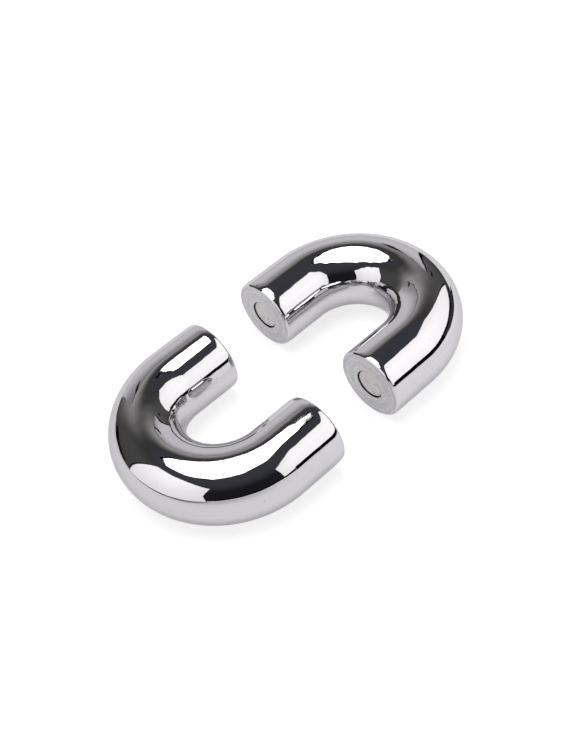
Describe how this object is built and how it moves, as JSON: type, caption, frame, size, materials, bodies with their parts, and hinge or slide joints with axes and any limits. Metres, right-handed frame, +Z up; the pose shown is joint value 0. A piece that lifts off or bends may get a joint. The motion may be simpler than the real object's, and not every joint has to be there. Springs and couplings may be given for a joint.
{
  "type": "two-piece magnetic ring",
  "caption": "Oval ring of polished round steel bar in two U-shaped halves that close end to end by magnets and pull apart along the ring's length.",
  "frame": {"origin": "on the surface that the ring lies on, under the middle of the gap between the two halves as they lie", "axes": "+X along the ring's long axis, from the left half to the right half, along which they pull apart; +Y across the two legs of a half; +Z up, square to the plane of the ring"},
  "size_m": [0.1068, 0.06, 0.02],
  "materials": {
    "polished_steel": "mirror polished, with end faces lapped to a satin",
    "magnet_nickel": "nickel plate, satin",
    "cured_adhesive": "cured dark grey epoxy"
  },
  "bodies": {
    "left_body": {"left_half": "polished_steel", "left_near_magnet": "magnet_nickel", "left_far_magnet": "magnet_nickel", "left_near_adhesive": "cured_adhesive", "left_far_adhesive": "cured_adhesive"},
    "right_body": {"right_half": "polished_steel", "right_near_magnet": "magnet_nickel", "right_far_magnet": "magnet_nickel", "right_near_adhesive": "cured_adhesive", "right_far_adhesive": "cured_adhesive"}
  },
  "joints": [
    {"name": "pull_apart", "type": "slide", "parent": "left_body", "child": "right_body", "axis": [1, 0, 0], "range_m": [-0.01878, 0.04]}
  ]
}
